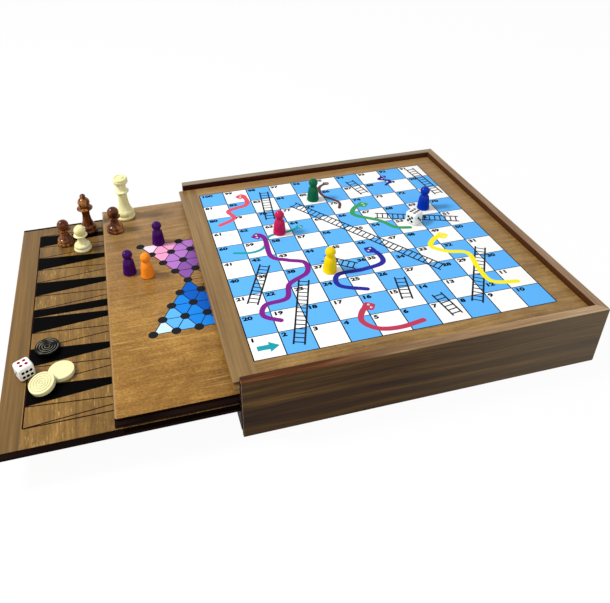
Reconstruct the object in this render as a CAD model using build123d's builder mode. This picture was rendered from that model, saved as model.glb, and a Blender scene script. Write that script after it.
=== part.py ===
from build123d import *

import os
from math import atan2, cos, degrees, radians, sin, sqrt

# Games compendium box: a shallow wooden box whose three playing boards slide out through its
# open left end, one above the other, over a storage floor that holds the pieces not in play.
# Millimetres, +Z up. The origin is the centre of the box's underside; -X is the open end.

# ---------------------------------------------------------------- driving dimensions: the box
box_width = 293.0            # along X, the way the boards slide
box_depth = 299.0            # along Y
box_height = 54.8
wall = 7.2
edge_round = 0.6             # broken arrises of the walls
base_thickness = 2.8
rebate_depth = 3.6           # how far the base panel is let into the walls
divider_thickness = 5.0
divider_gap = 0.6            # under the lowest board

# ------------------------------------------------------------- driving dimensions: the boards
board_thickness = 5.0        # lid and checkers board
thin_board_thickness = 3.2   # backgammon board
checkers_drop = 11.9         # lid's face to the checkers board's face
backgammon_drop = 10.6       # checkers board's face to the backgammon board's face
side_gap = 1.3               # between a board's thick part and the walls
end_gap = 0.7                # between the boards' right end and the right wall
board_nose = 4.4             # how far a closed board stands out of the open end
nose_round = 2.0             # rounded pulling edge of the two thick boards
thin_nose_round = 0.7
tongue_thickness = 2.6       # tongues along the thick boards' long edges
thin_tongue_thickness = 2.4
tongue_reach = 2.7           # into the groove
groove_depth = 3.0
groove_play = 0.3            # above the tongue
board_edge_round = 0.4

# The two lower boards, as they stand pulled out.
checkers_out = 82.9          # beyond the lid
backgammon_out = 81.3        # beyond the checkers board

# ------------------------------------------------- driving dimensions: plastic playing pieces
pawn_height = 24.5
pawn_base_radius = 6.1
pawn_foot_height = 1.4
pawn_shoulder_radius = 4.5
pawn_neck_radius = 2.9
pawn_head_radius = 4.6

die_size = 12.6
die_round = 2.4
pip_radius = 1.15
pip_sink = 0.45
pip_pitch = 1.9              # half the distance between neighbouring pips of a square
six_pitch = 2.9              # between the three pips in a row of a six

draught_radius = 9.8
draught_thickness = 4.0
draught_round = 0.5
ring_count = 4
ring_pitch = 1.7
ring_width = 0.6
ring_depth = 0.35

# -------------------------------------------------------- driving dimensions: the chess pieces
foot_height = 3.0            # rounded disc under every chess piece
foot_waist = 0.7             # groove above the foot, as a depth
chess_pawn_height = 27.3
chess_pawn_radius = 8.6
chess_pawn_head_radius = 5.7
bishop_height = 43.5
bishop_radius = 8.8
bishop_head_radius = 6.0
rook_height = 33.0
rook_radius = 9.3
rook_tower_radius = 6.6
knight_height = 38.0
knight_radius = 9.3
knight_head_thickness = 8.6
queen_height = 46.6
queen_radius = 9.9
queen_drum_radius = 7.4
king_height = 50.0
king_radius = 9.8
king_crown_radius = 6.8

seat_gap = 0.05              # a standing piece above its board
lie_gap = 0.1                # a lying piece above the storage floor
piece_spacing = 0.5          # between pieces stored side by side
pawn_count = 4               # plastic pawns of each colour
chess_pawn_count = 8
draught_count = 15           # of each colour
row_margin = 2.0             # between a stored row and the wall or divider beside it
head_room = 1.0              # between the heads of one stored row and the feet of the next
storage_play = 0.5           # between the widest stored piece and the lowest board

# ------------------------------------------------------------------------------ worked levels
# From the floor up: the storage floor is as deep as the widest piece that lies in it, each board
# stands over the one below, and the walls reach past the lid to the box's own height.
widest_piece = 2 * max(
    pawn_base_radius,
    draught_radius,
    chess_pawn_radius,
    bishop_radius,
    rook_radius,
    knight_radius,
    queen_radius,
    king_radius,
)
backgammon_bottom = base_thickness + lie_gap + widest_piece + storage_play
backgammon_top = backgammon_bottom + thin_board_thickness
checkers_top = backgammon_top + backgammon_drop
checkers_bottom = checkers_top - board_thickness
lid_top = checkers_top + checkers_drop
lid_bottom = lid_top - board_thickness

right = box_width / 2
back = box_depth / 2
inner_right = right - wall
inner_back = back - wall
board_length = box_width - wall - end_gap + board_nose
raised_width = 2 * (inner_back - side_gap)
tongue_width = 2 * (inner_back + tongue_reach)
closed_left = -right - board_nose
left_wall_height = backgammon_bottom - divider_gap
divider_height = left_wall_height - base_thickness

os.makedirs("parts", exist_ok=True)


def keep(part, label):
    """Names a finished piece and writes it to its own file."""
    part.label = label
    export_step(part, f"parts/{label}.step")
    print(f"{label:28s} {len(part.solids()):3d} solids {part.volume / 1000:9.2f} cm3")


# ============================================================================== the box's shell
# Front and back walls are one shape and its mirror: square at the open end, mitred at the right.
# Three grooves along the inner face carry the boards, and a rebate below takes the base panel.


def long_wall(outer, inner):
    """A wall along X between its outer and inner planes, with grooves and rebate."""
    inward = 1 if inner > outer else -1
    with BuildPart() as side:
        with BuildSketch():
            with BuildLine():
                Polyline((-right, outer), (right, outer), (inner_right, inner), (-right, inner), close=True)
            make_face()
        extrude(amount=box_height)
        # Grooves, one for each board's tongue.
        for floor, thickness in (
            (lid_bottom, tongue_thickness),
            (checkers_bottom, tongue_thickness),
            (backgammon_bottom, thin_tongue_thickness),
        ):
            with BuildSketch(Plane.XY.offset(floor)):
                with Locations((0, inner - inward * groove_depth / 2)):
                    Rectangle(2 * box_width, groove_depth)
            extrude(amount=thickness + groove_play, mode=Mode.SUBTRACT)
        # Rebate for the base panel.
        with BuildSketch():
            with Locations((0, inner - inward * rebate_depth / 2)):
                Rectangle(2 * box_width, rebate_depth)
        extrude(amount=base_thickness, mode=Mode.SUBTRACT)
        fillet(side.edges().filter_by(Axis.X).group_by(Axis.Z)[-1], edge_round)
        lowest = side.edges().filter_by(Axis.X).group_by(Axis.Z)[0].sort_by(Axis.Y)
        fillet(lowest[0 if inward > 0 else -1], edge_round)
    return side.part


front_wall = long_wall(-back, -inner_back)
keep(front_wall, "front_wall")

back_wall = long_wall(back, inner_back)
keep(back_wall, "back_wall")

# The right wall closes the far end of the grooves, mitred at both ends.
with BuildPart() as right_wall:
    with BuildSketch():
        with BuildLine():
            Polyline(
                (right, -back),
                (right, back),
                (inner_right, inner_back),
                (inner_right, -inner_back),
                close=True,
            )
        make_face()
    extrude(amount=box_height)
    with BuildSketch():
        with Locations((inner_right + rebate_depth / 2, 0)):
            Rectangle(rebate_depth, 2 * box_depth)
    extrude(amount=base_thickness, mode=Mode.SUBTRACT)
    fillet(right_wall.edges().filter_by(Axis.Y).group_by(Axis.Z)[-1], edge_round)
    lowest = right_wall.edges().filter_by(Axis.Y).group_by(Axis.Z)[0].sort_by(Axis.X)
    fillet(lowest[-1], edge_round)
keep(right_wall.part, "right_wall")

# The left wall is low: it closes the storage floor and leaves the boards' end open.
with BuildPart() as left_wall:
    with BuildSketch(Plane.XY.offset(base_thickness)):
        with Locations((-right + wall / 2, 0)):
            Rectangle(wall, 2 * inner_back)
    extrude(amount=left_wall_height - base_thickness)
    with BuildSketch():
        with Locations((-right + (wall - rebate_depth) / 2, 0)):
            Rectangle(wall - rebate_depth, 2 * inner_back)
    extrude(amount=base_thickness)
    fillet(left_wall.edges().filter_by(Axis.Y).group_by(Axis.Z)[-1], edge_round)
keep(left_wall.part, "left_wall")

# Base panel, glued into the rebates flush with the walls' undersides.
with BuildPart() as base_panel:
    with BuildSketch():
        Rectangle(box_width - 2 * (wall - rebate_depth), box_depth - 2 * (wall - rebate_depth))
    extrude(amount=base_thickness)
keep(base_panel.part, "base_panel")

# Dividers: one long strip across the storage floor and two short ones against it.
with BuildPart() as long_divider:
    with BuildSketch(Plane.XY.offset(base_thickness)):
        Rectangle(2 * inner_right, divider_thickness)
    extrude(amount=divider_height)
keep(long_divider.part, "long_divider")

short_divider_length = inner_back - divider_thickness / 2
for label, side in (("front_divider", -1), ("back_divider", 1)):
    with BuildPart() as short_divider:
        with BuildSketch(Plane.XY.offset(base_thickness)):
            with Locations((0, side * (divider_thickness + short_divider_length) / 2)):
                Rectangle(divider_thickness, short_divider_length)
        extrude(amount=divider_height)
    keep(short_divider.part, label)

# ==================================================================================== the boards
# Each board is a panel rebated along both long edges, which leaves a thin tongue for the groove.


def board(left, bottom, thickness, tongue, nose):
    """A board from its left end, on its underside's level."""
    middle = left + board_length / 2
    with BuildPart() as panel:
        with BuildSketch(Plane.XY.offset(bottom)):
            with Locations((middle, 0)):
                Rectangle(board_length, tongue_width)
        extrude(amount=tongue)
        with BuildSketch(Plane.XY.offset(bottom + tongue)):
            with Locations((middle, 0)):
                Rectangle(board_length, raised_width)
        extrude(amount=thickness - tongue)
        top = panel.edges().group_by(Axis.Z)[-1]
        fillet(top.filter_by(Axis.X), board_edge_round)
        pulling_edge = panel.edges().group_by(Axis.Z)[-1].filter_by(Axis.Y).sort_by(Axis.X)[0]
        fillet(pulling_edge, min(nose, 0.9 * (thickness - tongue)))
    return panel.part


checkers_left = closed_left - checkers_out
backgammon_left = checkers_left - backgammon_out
thick = (board_thickness, tongue_thickness, nose_round)
thin = (thin_board_thickness, thin_tongue_thickness, thin_nose_round)
keep(board(closed_left, lid_bottom, *thick), "snakes_lid")
keep(board(checkers_left, checkers_bottom, *thick), "checkers_board")
keep(board(backgammon_left, backgammon_bottom, *thin), "backgammon_board")

# ============================================================================ turned piece shapes
# An outline runs up the outside of a turned piece from the rim of its foot to its top centre.
# A step of two numbers (radius, height) is a straight line to that point; a step of four is an
# arc through the first pair to the second.


def foot(radius):
    """The foot that all chess pieces share: a rounded disc with a groove above it."""
    rim = foot_height / 2
    return [
        (radius - 0.8, 0),
        (radius, rim, radius - 0.5, foot_height),
        (radius - foot_waist, foot_height + 0.3),
    ]


def ball(radius, top, neck):
    """A ball on a neck of the given radius: from the neck, round the middle, to the top."""
    middle = top - radius
    return [(neck, middle - sqrt(radius**2 - neck**2)), (radius, middle, 0, top)]


def pawn_outline():
    """Plastic playing pawn: a bell with a ball on it."""
    head = ball(pawn_head_radius, pawn_height, pawn_neck_radius)
    neck = head[0][1]
    shoulder = neck - 2.6
    return [
        (pawn_base_radius - 0.4, 0),
        (pawn_base_radius, pawn_foot_height / 2, pawn_base_radius - 0.2, pawn_foot_height),
        (pawn_base_radius - 0.5, shoulder / 2, pawn_shoulder_radius, shoulder),
        (pawn_shoulder_radius - 0.5, neck - 0.8, *head[0]),
        head[1],
    ]


def chess_pawn_outline():
    """Foot, domed base, cone, thin wide collar and ball."""
    radius, head = chess_pawn_radius, chess_pawn_head_radius
    top_ball = ball(head, chess_pawn_height, head - 1.4)
    collar = top_ball[0][1] - 0.8
    return foot(radius) + [
        (radius - 1.1, foot_height + 0.6),
        (radius - 0.7, foot_height + 2.2, radius - 2.0, foot_height + 4.2),
        (radius - 2.7, foot_height + 4.5),
        (radius - 4.4, foot_height + 7.4, radius - 5.2, collar - 1.7),
        (head + 0.5, collar - 0.9),
        (head + 1.0, collar - 0.3, head + 0.5, collar + 0.3),
        (head - 1.2, collar + 0.6),
    ] + top_ball


def bishop_outline():
    """Foot, domed base, tapered stem, wide ring, egg-shaped head and a low knob on top."""
    radius, head = bishop_radius, bishop_head_radius
    knob = ball(2.9, bishop_height, 2.6)
    crown = knob[0]
    ring = crown[1] - 12.4
    return foot(radius) + [
        (radius - 1.1, foot_height + 0.7),
        (radius - 0.6, foot_height + 2.8, radius - 2.0, foot_height + 5.2),
        (radius - 2.7, foot_height + 5.6),
        (radius - 4.3, foot_height + 11.0, radius - 4.7, ring - 1.6),
        (radius - 1.6, ring - 0.5),
        (radius - 0.9, ring + 0.4, radius - 1.6, ring + 1.3),
        (radius - 4.6, ring + 2.0),
        (head - 2.0, ring + 3.0),
        (head, crown[1] - 6.0, head - 2.2, crown[1] - 1.0),
        crown,
        knob[1],
    ]


def queen_outline():
    """Tall turned piece: foot, domed base, tapered stem, ring, neck and a drum with a dished top."""
    radius, drum = queen_radius, queen_drum_radius
    ring = queen_height - 15.6
    drum_bottom = queen_height - 8.0
    return foot(radius) + [
        (radius - 1.1, foot_height + 0.8),
        (radius - 0.7, foot_height + 3.4, radius - 2.3, foot_height + 6.6),
        (radius - 2.7, foot_height + 7.0),
        (radius - 4.6, foot_height + 14.0, radius - 5.2, ring - 2.6),
        (radius - 3.4, ring - 1.0),
        (radius - 2.7, ring - 0.2, radius - 3.2, ring + 0.7),
        (radius - 4.6, ring + 1.4),
        (radius - 5.1, ring + 3.4, radius - 4.9, drum_bottom - 0.9),
        (drum - 0.9, drum_bottom + 1.2),
        (drum, drum_bottom + 2.4),
        (drum, queen_height - 3.4),
        (drum - 0.5, queen_height - 2.9),
        (drum - 0.2, queen_height - 1.6, drum - 1.0, queen_height - 0.5),
        (drum - 2.0, queen_height - 0.3),
        (drum - 2.5, queen_height - 1.0),
        (drum - 3.2, queen_height - 0.9),
        (drum - 4.0, queen_height),
        (0, queen_height),
    ]


def king_outline():
    """Like the queen but with a waisted crown and a button on top."""
    radius, crown = king_radius, king_crown_radius
    ring = king_height - 18.6
    crown_bottom = king_height - 12.4
    return foot(radius) + [
        (radius - 0.4, foot_height + 3.6, radius - 2.2, foot_height + 7.4),
        (radius - 1.9, foot_height + 8.4),
        (radius - 3.4, foot_height + 9.4),
        (radius - 4.9, foot_height + 15.0, radius - 5.2, ring - 1.6),
        (radius - 3.4, ring - 1.0),
        (radius - 2.9, ring + 0.6, radius - 3.4, ring + 2.2),
        (radius - 5.4, ring + 3.0),
        (radius - 5.4, crown_bottom),
        (crown - 1.5, crown_bottom + 3.4, crown, king_height - 5.4),
        (crown - 0.9, king_height - 4.6),
    ] + ball(2.6, king_height, 1.9)


def rook_outline():
    """Foot, domed base, tower and a parapet with a sunk top."""
    radius, tower = rook_radius, rook_tower_radius
    parapet = rook_height - 6.4
    return foot(radius) + [
        (radius - 0.4, foot_height + 3.0, radius - 2.0, foot_height + 6.0),
        (radius - 1.8, foot_height + 7.0),
        (radius - 3.2, foot_height + 8.0),
        (tower - 1.9, foot_height + 14.0, tower - 1.8, parapet - 1.2),
        (tower, parapet),
        (tower, rook_height),
        (tower - 1.9, rook_height),
        (tower - 1.9, rook_height - 1.6),
        (0, rook_height - 1.6),
    ]


def turn(outline):
    """Turns an outline about Z into a solid."""
    with BuildPart() as turned:
        with BuildSketch(Plane.XZ):
            with BuildLine():
                start = outline[0]
                Line((0, 0), start)
                for step in outline[1:]:
                    if len(step) == 4:
                        ThreePointArc(start, step[:2], step[2:])
                    else:
                        Line(start, step)
                    start = step[-2:]
                Line(start, (0, 0))
            make_face()
        revolve(axis=Axis.Z)
    return turned.part


pawn_shape = turn(pawn_outline())
chess_pawn_shape = turn(chess_pawn_outline())
bishop_shape = turn(bishop_outline())
queen_shape = turn(queen_outline())
king_shape = turn(king_outline())

# Rook: the parapet is cut into battlements.
with BuildPart() as rook:
    add(turn(rook_outline()))
    with BuildSketch(Plane.XY.offset(rook_height)):
        with PolarLocations(0, 2, angular_range=180):
            Rectangle(3 * rook_tower_radius, 2.4)
    extrude(amount=-1.6, mode=Mode.SUBTRACT)
rook_shape = rook.part


def knight_base_outline():
    """The knight's turned foot and domed base, flat on top to take the head."""
    radius = knight_radius
    return foot(radius) + [
        (radius - 0.4, foot_height + 3.0, radius - 2.0, foot_height + 6.0),
        (radius - 1.8, foot_height + 7.0),
        (radius - 3.2, foot_height + 8.0),
        (0, foot_height + 8.0),
    ]


# Knight: a carved horse's head, cut from the flat and chamfered, on a turned base. The head is
# drawn down from the tips of the ears: mane behind, brow, muzzle and jaw in front.
neck_bottom = foot_height + 7.0
mane_top = knight_height - 5.2
brow = knight_height - 3.8
muzzle_top = knight_height - 10.8
muzzle_bottom = knight_height - 14.0
jaw = knight_height - 15.0
mane_middle = (neck_bottom + mane_top) / 2
throat_middle = (neck_bottom + jaw) / 2
with BuildPart() as knight_head:
    with BuildSketch(Plane.XZ):
        with BuildLine():
            ThreePointArc((-5.2, neck_bottom), (-6.6, mane_middle), (-2.8, mane_top))
            Polyline((-2.8, mane_top), (0, knight_height), (1.6, brow), (8.8, muzzle_top))
            Polyline((8.8, muzzle_top), (8.2, muzzle_bottom), (4.6, jaw))
            ThreePointArc((4.6, jaw), (3.2, throat_middle), (5.4, neck_bottom))
            Line((5.4, neck_bottom), (-5.2, neck_bottom))
        make_face()
    extrude(amount=knight_head_thickness / 2, both=True)
    chamfer(knight_head.faces().filter_by(Axis.Y).edges().group_by(Axis.Z)[1:], 1.1)
with BuildPart() as knight:
    add(turn(knight_base_outline()))
    add(knight_head.part)
knight_shape = knight.part


def draught_outline():
    """A flat disc with rounded rims and rings cut into its upper face."""
    top = draught_thickness
    steps = [
        (draught_radius - draught_round, 0),
        (draught_radius - 0.15, 0.15, draught_radius, draught_round),
        (draught_radius, top - draught_round),
        (draught_radius - 0.15, top - 0.15, draught_radius - draught_round, top),
    ]
    for ring in range(1, ring_count + 1):
        outer = draught_radius - ring * ring_pitch + ring_width / 2
        inner = outer - ring_width
        steps += [(outer, top), ((outer + inner) / 2, top - ring_depth), (inner, top)]
    return steps + [(0, top)]


draught_shape = turn(draught_outline())

# Die: a rounded cube with shallow pips; opposite faces add up to seven.
far = six_pitch
near = pip_pitch
pips = {
    1: [(0, 0)],
    2: [(-near, -near), (near, near)],
    3: [(-near, near), (0, 0), (near, -near)],
    4: [(-near, -near), (-near, near), (near, -near), (near, near)],
    5: [(-near, -near), (-near, near), (near, -near), (near, near), (0, 0)],
    6: [(-far, -near), (0, -near), (far, -near), (-far, near), (0, near), (far, near)],
}


def die(top_number, front_number, right_number):
    """A die standing on its bottom face, with the given numbers up, to the front and to the right."""
    half = die_size / 2
    middle = Vector(0, 0, half)
    shown = [
        (top_number, (0, 0, 1), (1, 0, 0)),
        (front_number, (0, -1, 0), (1, 0, 0)),
        (right_number, (1, 0, 0), (0, 1, 0)),
    ]
    with BuildPart() as cube:
        with Locations((0, 0, half)):
            Box(die_size, die_size, die_size)
        fillet(cube.edges(), die_round)
        for number, normal, across in shown:
            for count, sign in ((number, 1), (7 - number, -1)):
                out = Vector(*normal) * sign
                face = Plane(middle + out * (half + pip_radius - pip_sink), x_dir=across, z_dir=out)
                with Locations(face):
                    with Locations(*pips[count]):
                        Sphere(pip_radius, mode=Mode.SUBTRACT)
    return cube.part


# ================================================================== pieces standing on the boards
def stand(shape, label, x, y, level, turn_z=0.0):
    """One piece standing upright at (x, y) on a board's face."""
    with BuildPart() as node:
        with Locations(Location((x, y, level + seat_gap), (0, 0, turn_z))):
            add(shape)
    keep(node.part, label)


# Places are measured from the open end of the box and from its middle line, so that the pieces
# keep to their squares when the box grows. Each is (label, shape, x from the open end, y).
open_end = -right
on_lid = [
    ("pawn_yellow", pawn_shape, 103.5, -36.6, 0),
    ("pawn_red", pawn_shape, 77.5, 33.4, 0),
    ("pawn_green", pawn_shape, 127.4, 84.5, 0),
    ("pawn_blue", pawn_shape, 228.3, 37.4, 0),
    ("die_a", die(6, 3, 2), 207.3, 15.6, 28.4),
]
for label, shape, x, y, turn_z in on_lid:
    stand(shape, label, open_end + x, y, lid_top, turn_z)

# On the two lower boards, x is measured from the board's own left end.
on_checkers = [
    ("pawn_purple_a", pawn_shape, 21.7, 24.8),
    ("pawn_purple_b", pawn_shape, 51.9, 66.0),
    ("pawn_orange", pawn_shape, 36.9, 16.0),
    ("chess_pawn_brown_a", chess_pawn_shape, 12.6, 100.3),
    ("queen_cream", queen_shape, 24.0, 124.8),
]
for label, shape, x, y in on_checkers:
    stand(shape, label, checkers_left + x, y, checkers_top)

on_backgammon = [
    ("chess_pawn_brown_b", chess_pawn_shape, 43.9, 107.5, 0),
    ("chess_pawn_cream", chess_pawn_shape, 60.2, 92.4, 0),
    ("bishop_brown", bishop_shape, 66.3, 125.5, 0),
    ("draught_black", draught_shape, 32.1, -46.5, 0),
    ("die_b", die(4, 6, 5), 16.8, -70.7, 27.7),
]
for label, shape, x, y, turn_z in on_backgammon:
    stand(shape, label, backgammon_left + x, y, backgammon_top, turn_z)

# Two cream draughts: one flat with its plain face up, the other leaning on its rim.
flat_x = backgammon_left + 43.6
flat_y = -75.9
lean_direction = 222.0       # the leaning draught's low side, seen from the flat one
lean_reach = 27.0            # from the flat draught's centre to the leaning one's low edge

with BuildPart() as draught_flat:
    with Locations(Location((flat_x, flat_y, backgammon_top + seat_gap + draught_thickness), (180, 0, 0))):
        add(draught_shape)
keep(draught_flat.part, "draught_cream_flat")

lean = atan2(draught_thickness + 2 * seat_gap, lean_reach - draught_radius)
lean_heading = radians(lean_direction)
from_low_edge = draught_radius * cos(lean)
lean_x = flat_x + (lean_reach - from_low_edge) * cos(lean_heading)
lean_y = flat_y + (lean_reach - from_low_edge) * sin(lean_heading)
lean_z = backgammon_top + seat_gap + draught_radius * sin(lean)
with BuildPart() as draught_leaning:
    leaning_plane = Plane(
        (lean_x, lean_y, lean_z),
        x_dir=(cos(lean_heading) * cos(lean), sin(lean_heading) * cos(lean), -sin(lean)),
        z_dir=(cos(lean_heading) * sin(lean), sin(lean_heading) * sin(lean), cos(lean)),
    )
    with Locations(leaning_plane):
        add(draught_shape)
keep(draught_leaning.part, "draught_cream_leaning")

# ==================================================================== pieces put away in storage
# Chess pieces and pawns lie on their sides, on the rim of the foot and on whatever else of the
# outline comes down first. Draughts stand on their rims in two rolls.


def lying_pose(outline):
    """How far a lying piece's head drops, in radians, and how high its axis is at the foot.
    It settles where its middle lies lowest."""
    points = [pair for step in outline for pair in (step[:2], step[-2:])]
    middle = 0.35 * outline[-1][1]

    def rise(tilt):
        return max(r * cos(tilt) + z * sin(tilt) for r, z in points)

    tilt = min((radians(tenth / 10) for tenth in range(250)), key=lambda a: rise(a) - middle * sin(a))
    return tilt, rise(tilt)


def lay_row(kinds, bay, foot_y, row_step):
    """Lays pieces side by side across a bay, heads towards +Y, and goes on in another row where
    the bay is full. Returns where the next row's feet go. Each kind has one node.
    kinds is a list of (label, shape, outline, radius, count)."""
    left, bay_end = bay
    x = left
    for label, shape, outline, radius, count in kinds:
        tilt, rise = lying_pose(outline)
        with BuildPart() as node:
            for _ in range(count):
                if x + 2 * radius > bay_end:
                    x = left
                    foot_y += row_step
                x += radius
                height = base_thickness + lie_gap + rise
                with Locations(Location((x, foot_y, height), (-90 - degrees(tilt), 0, 0))):
                    add(shape)
                x += radius + piece_spacing
        keep(node.part, label)
    return foot_y + row_step


knight_outline = knight_base_outline() + [(knight_head_thickness / 2, knight_height)]


on_boards = [entry[0] for entry in on_lid + on_checkers + on_backgammon]
on_boards += ["draught_cream_flat", "draught_cream_leaning"]


def left_over(kind, count):
    """How many of a kind aren't standing on a board."""
    return count - sum(label.startswith(kind) for label in on_boards)


def chess_set(colour):
    """What is put away of one colour's chess pieces, the tall ones first."""
    pawns = ("chess_pawns", "chess_pawn", chess_pawn_shape, chess_pawn_outline(), chess_pawn_radius)
    kinds = [
        ("king", "king", king_shape, king_outline(), king_radius, 1),
        ("rooks", "rook", rook_shape, rook_outline(), rook_radius, 2),
        ("knights", "knight", knight_shape, knight_outline, knight_radius, 2),
        ("bishops", "bishop", bishop_shape, bishop_outline(), bishop_radius, 2),
        ("queen", "queen", queen_shape, queen_outline(), queen_radius, 1),
        (*pawns, chess_pawn_count),
    ]
    stored = [
        (f"{group}_{colour}_stored", *shape, left_over(f"{one}_{colour}", whole))
        for group, one, *shape, whole in kinds
    ]
    return [kind for kind in stored if kind[-1] > 0]


bay_margin = row_margin / 2
left_bay = (-inner_right + bay_margin, -divider_thickness / 2 - bay_margin)
right_bay = (divider_thickness / 2 + bay_margin, inner_right - bay_margin)
chess_row = divider_thickness / 2 + row_margin + head_room
chess_step = king_height + row_margin + head_room
lay_row(chess_set("brown"), left_bay, chess_row, chess_step)
lay_row(chess_set("cream"), right_bay, chess_row, chess_step)

# Plastic pawns, in the front right bay, in two rows against the long divider.
plastic_step = -(pawn_height + row_margin)
plastic_row = -divider_thickness / 2 + plastic_step
for colours in (("yellow", "red", "green"), ("blue", "orange", "purple")):
    kinds = []
    for colour in colours:
        stored = left_over(f"pawn_{colour}", pawn_count)
        kinds.append((f"pawns_{colour}_stored", pawn_shape, pawn_outline(), pawn_base_radius, stored))
    plastic_row = lay_row(kinds, right_bay, plastic_row, plastic_step)

# Draughts, in the front left bay, in two rolls along X beside the front wall.
roll_pitch = draught_thickness + 0.1
for row, colour in enumerate(("black", "cream")):
    roll_y = -inner_back + row_margin + draught_radius + row * (2 * draught_radius + piece_spacing)
    roll_z = base_thickness + lie_gap + draught_radius
    with BuildPart() as roll:
        for place in range(left_over(f"draught_{colour}", draught_count)):
            with Locations(Location((left_bay[0] + place * roll_pitch, roll_y, roll_z), (0, 90, 0))):
                add(draught_shape)
    keep(roll.part, f"draughts_{colour}_stored")
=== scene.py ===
from math import asin, atan2, ceil, cos, hypot, pi, radians, sin, sqrt

import bmesh
import bpy
from mathutils import Matrix, Vector


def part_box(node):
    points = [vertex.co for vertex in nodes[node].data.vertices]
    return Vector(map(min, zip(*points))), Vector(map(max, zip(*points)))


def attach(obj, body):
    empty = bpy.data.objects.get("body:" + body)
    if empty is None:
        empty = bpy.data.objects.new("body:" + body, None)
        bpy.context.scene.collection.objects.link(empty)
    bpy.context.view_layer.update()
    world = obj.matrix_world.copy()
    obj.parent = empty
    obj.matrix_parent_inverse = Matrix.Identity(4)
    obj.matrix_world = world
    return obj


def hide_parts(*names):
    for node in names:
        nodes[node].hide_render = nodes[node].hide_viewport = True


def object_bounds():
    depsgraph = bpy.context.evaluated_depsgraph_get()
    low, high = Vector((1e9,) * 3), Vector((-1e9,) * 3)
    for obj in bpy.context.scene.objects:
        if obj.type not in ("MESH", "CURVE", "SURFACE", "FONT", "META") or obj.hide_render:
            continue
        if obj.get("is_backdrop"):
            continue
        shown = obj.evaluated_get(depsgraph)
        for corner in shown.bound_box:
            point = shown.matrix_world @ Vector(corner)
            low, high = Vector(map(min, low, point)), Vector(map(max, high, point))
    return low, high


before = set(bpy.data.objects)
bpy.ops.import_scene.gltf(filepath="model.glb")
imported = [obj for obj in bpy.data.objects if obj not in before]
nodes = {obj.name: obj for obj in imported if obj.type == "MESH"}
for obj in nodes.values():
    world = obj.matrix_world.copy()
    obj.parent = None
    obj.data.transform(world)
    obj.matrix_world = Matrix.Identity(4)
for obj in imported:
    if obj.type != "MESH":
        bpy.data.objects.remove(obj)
cad_low, cad_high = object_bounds()
MM = 0.001

# ================================================================================ the four walls
# Solid strips faced with dark walnut veneer on the outside and lacquered. The broken arrises are
# pale, partly rubbed through to pale wood and partly painted highlight, most of all where the front
# and back walls end in the open.


class Signal:
    """One output of a shader node. Sums written on signals add the Math nodes that do them."""

    def __init__(self, finish, socket):
        self.finish = finish
        self.socket = socket

    def other(self, name):
        """Another output of the same node."""
        return Signal(self.finish, self.socket.node.outputs[name])

    def math(self, operation, *values):
        """A Math node on the given values."""
        return self.finish.node("Math", {"operation": operation}, dict(enumerate(values)))

    def __add__(self, other):
        return self.math("ADD", self, other)

    def __radd__(self, other):
        return self.math("ADD", other, self)

    def __sub__(self, other):
        return self.math("SUBTRACT", self, other)

    def __rsub__(self, other):
        return self.math("SUBTRACT", other, self)

    def __mul__(self, other):
        return self.math("MULTIPLY", self, other)

    def __rmul__(self, other):
        return self.math("MULTIPLY", other, self)

    def __lt__(self, other):
        return self.math("LESS_THAN", self, other)

    def __gt__(self, other):
        return self.math("GREATER_THAN", self, other)

    def __abs__(self):
        return self.math("ABSOLUTE", self)


def colour(code, share=1):
    """A linear colour from the usual six-digit one, darkened to a share of itself."""
    parts = [int(code[place:place + 2], 16) / 255 for place in (1, 3, 5)]
    linear = [c / 12.92 if c <= 0.04045 else ((c + 0.055) / 1.055) ** 2.4 for c in parts]
    return [c * share for c in linear] + [1]


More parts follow.
